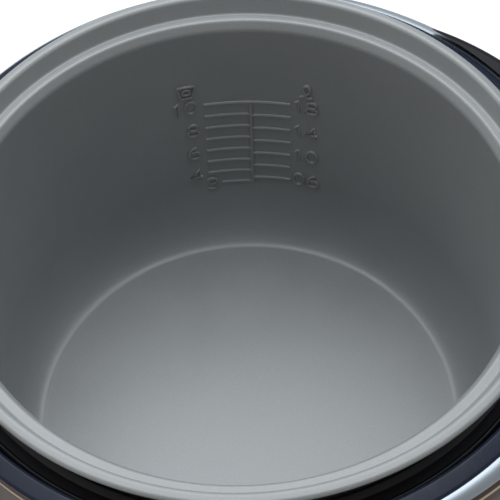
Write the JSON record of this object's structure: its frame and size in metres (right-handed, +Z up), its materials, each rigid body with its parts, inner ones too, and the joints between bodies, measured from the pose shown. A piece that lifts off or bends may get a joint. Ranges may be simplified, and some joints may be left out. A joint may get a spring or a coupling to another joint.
{
  "type": "rice cooker",
  "caption": "Round jar-type rice cooker with a hinged lid, a lift-out non-stick pot with a stepped lip and level scale, steel body, glossy deck ring and front control panel.",
  "frame": {"origin": "middle of the object's box on the surface it stands on, with the lid open", "axes": "+Z up, front with the control panel towards -Y, hinge towards +Y"},
  "size_m": [0.2868, 0.4021, 0.5267],
  "materials": {
    "pot_coating": "grey speckled non-stick coating, satin",
    "shell_steel": "fine brushed stainless steel",
    "deck_gloss": "glossy blue-black moulded plastic",
    "dark_plastic": "black moulded plastic, fine texture",
    "aluminium": "drawn aluminium sheet",
    "cast_plate": "die-cast aluminium alloy, machined face",
    "heater_steel": "heat-darkened steel sheath",
    "mica_band": "mica and foil heater",
    "zinc_steel": "zinc plated steel",
    "spring_steel": "drawn spring steel wire",
    "ceramic_white": "ceramic sleeve",
    "board_green": "glass-fibre circuit board",
    "component_black": "moulded components",
    "brass": "plain brass",
    "rubber": "matt rubber",
    "housing_brown": "dark brown metallic plastic",
    "lens": "smoked display window",
    "display_grey": "reflective display glass",
    "button_silver": "silver painted plastic",
    "button_amber": "amber plastic",
    "hook_black": "glass-filled nylon",
    "dew_smoke": "smoked clear plastic",
    "lid_gloss": "glossy blue-black plastic",
    "liner_grey": "grey heat-resistant plastic",
    "silicone": "translucent silicone rubber",
    "steam_black": "black plastic",
    "lid_plate": "anodised aluminium"
  },
  "bodies": {
    "cooker": {"body_shell": "shell_steel", "base_cover": "dark_plastic", "rubber_feet": "rubber", "base_screws": "zinc_steel", "deck_ring": "deck_gloss", "well_collar": "dark_plastic", "well_casing": "aluminium", "hot_plate": "cast_plate", "heating_element": "heater_steel", "heat_shield": "aluminium", "plate_posts": "zinc_steel", "side_heater": "mica_band", "sensor_housing": "zinc_steel", "sensor_spring": "spring_steel", "thermal_fuse": "ceramic_white", "power_board": "board_green", "board_parts": "component_black", "inlet_socket": "dark_plastic", "inlet_pins": "brass", "rear_cover": "dark_plastic", "rear_screws": "zinc_steel", "hinge_pin": "zinc_steel", "front_panel": "housing_brown", "display_window": "lens", "display_module": "display_grey", "control_board": "board_green", "hook_bracket": "zinc_steel", "latch_pin": "zinc_steel", "latch_spring": "spring_steel", "lid_spring": "spring_steel"},
    "pot": {"inner_pot": "pot_coating"},
    "sensor": {"sensor_cap": "aluminium"},
    "opener": {"open_button": "button_silver"},
    "hook": {"latch_hook": "hook_black"},
    "cancel": {"cancel_button": "button_silver"},
    "menu": {"menu_button": "button_silver"},
    "start": {"start_button": "button_amber"},
    "hour": {"hour_button": "button_silver"},
    "minute": {"minute_button": "button_silver"},
    "dew": {"dew_cup": "dew_smoke"},
    "lid": {"lid_cover": "lid_gloss", "lid_liner": "liner_grey", "lid_heater": "mica_band", "lid_screws": "zinc_steel", "lid_catch": "zinc_steel", "steam_seat": "dark_plastic", "steam_tube": "silicone"},
    "steam": {"steam_cap": "steam_black"},
    "inner": {"inner_lid": "lid_plate", "lid_gasket": "silicone", "inner_lid_plug": "silicone"}
  },
  "joints": [
    {"name": "lid_hinge", "type": "hinge", "parent": "cooker", "child": "lid", "pos_m": [0, 0.123, 0.216], "axis": [-1, 0, 0], "range_deg": [-100, 0], "stiffness_Nm_per_rad": 0.6, "springref_deg": 11.46, "deforming": ["lid_spring"]},
    {"name": "pot_lift", "type": "slide", "parent": "cooker", "child": "pot", "axis": [0, 0, 1], "range_m": [0, 0.165]},
    {"name": "sensor_press", "type": "slide", "parent": "cooker", "child": "sensor", "axis": [0, 0, 1], "range_m": [-0.0025, 0], "stiffness_N_per_m": 400, "deforming": ["sensor_spring"]},
    {"name": "open_press", "type": "slide", "parent": "cooker", "child": "opener", "axis": [0, 0.9929, -0.1191], "range_m": [0, 0.002], "stiffness_N_per_m": 300},
    {"name": "hook_swing", "type": "hinge", "parent": "cooker", "child": "hook", "pos_m": [0, -0.1795, 0.162], "axis": [-1, 0, 0], "range_deg": [0, 4.5], "deforming": ["latch_spring"]},
    {"name": "cancel_press", "type": "slide", "parent": "cooker", "child": "cancel", "axis": [0, 0.9929, -0.1191], "range_m": [0, 0.001], "stiffness_N_per_m": 500},
    {"name": "menu_press", "type": "slide", "parent": "cooker", "child": "menu", "axis": [0, 0.9929, -0.1191], "range_m": [0, 0.001], "stiffness_N_per_m": 500},
    {"name": "start_press", "type": "slide", "parent": "cooker", "child": "start", "axis": [0, 0.9929, -0.1191], "range_m": [0, 0.001], "stiffness_N_per_m": 500},
    {"name": "hour_press", "type": "slide", "parent": "cooker", "child": "hour", "axis": [0, 0.9929, -0.1191], "range_m": [0, 0.001], "stiffness_N_per_m": 500},
    {"name": "minute_press", "type": "slide", "parent": "cooker", "child": "minute", "axis": [0, 0.9929, -0.1191], "range_m": [0, 0.001], "stiffness_N_per_m": 500},
    {"name": "dew_pull", "type": "slide", "parent": "cooker", "child": "dew", "axis": [0, 1, 0], "range_m": [0, 0.03]},
    {"name": "steam_pull", "type": "slide", "parent": "lid", "child": "steam", "axis": [0, 0.9848, -0.1736], "range_m": [0, 0.018]},
    {"name": "inner_pull", "type": "slide", "parent": "lid", "child": "inner", "axis": [0, -0.9848, 0.1736], "range_m": [0, 0.012]}
  ],
  "couplings": [
    {"joint": "hook_swing", "follows": "open_press", "rad_per_m": 38.5}
  ]
}
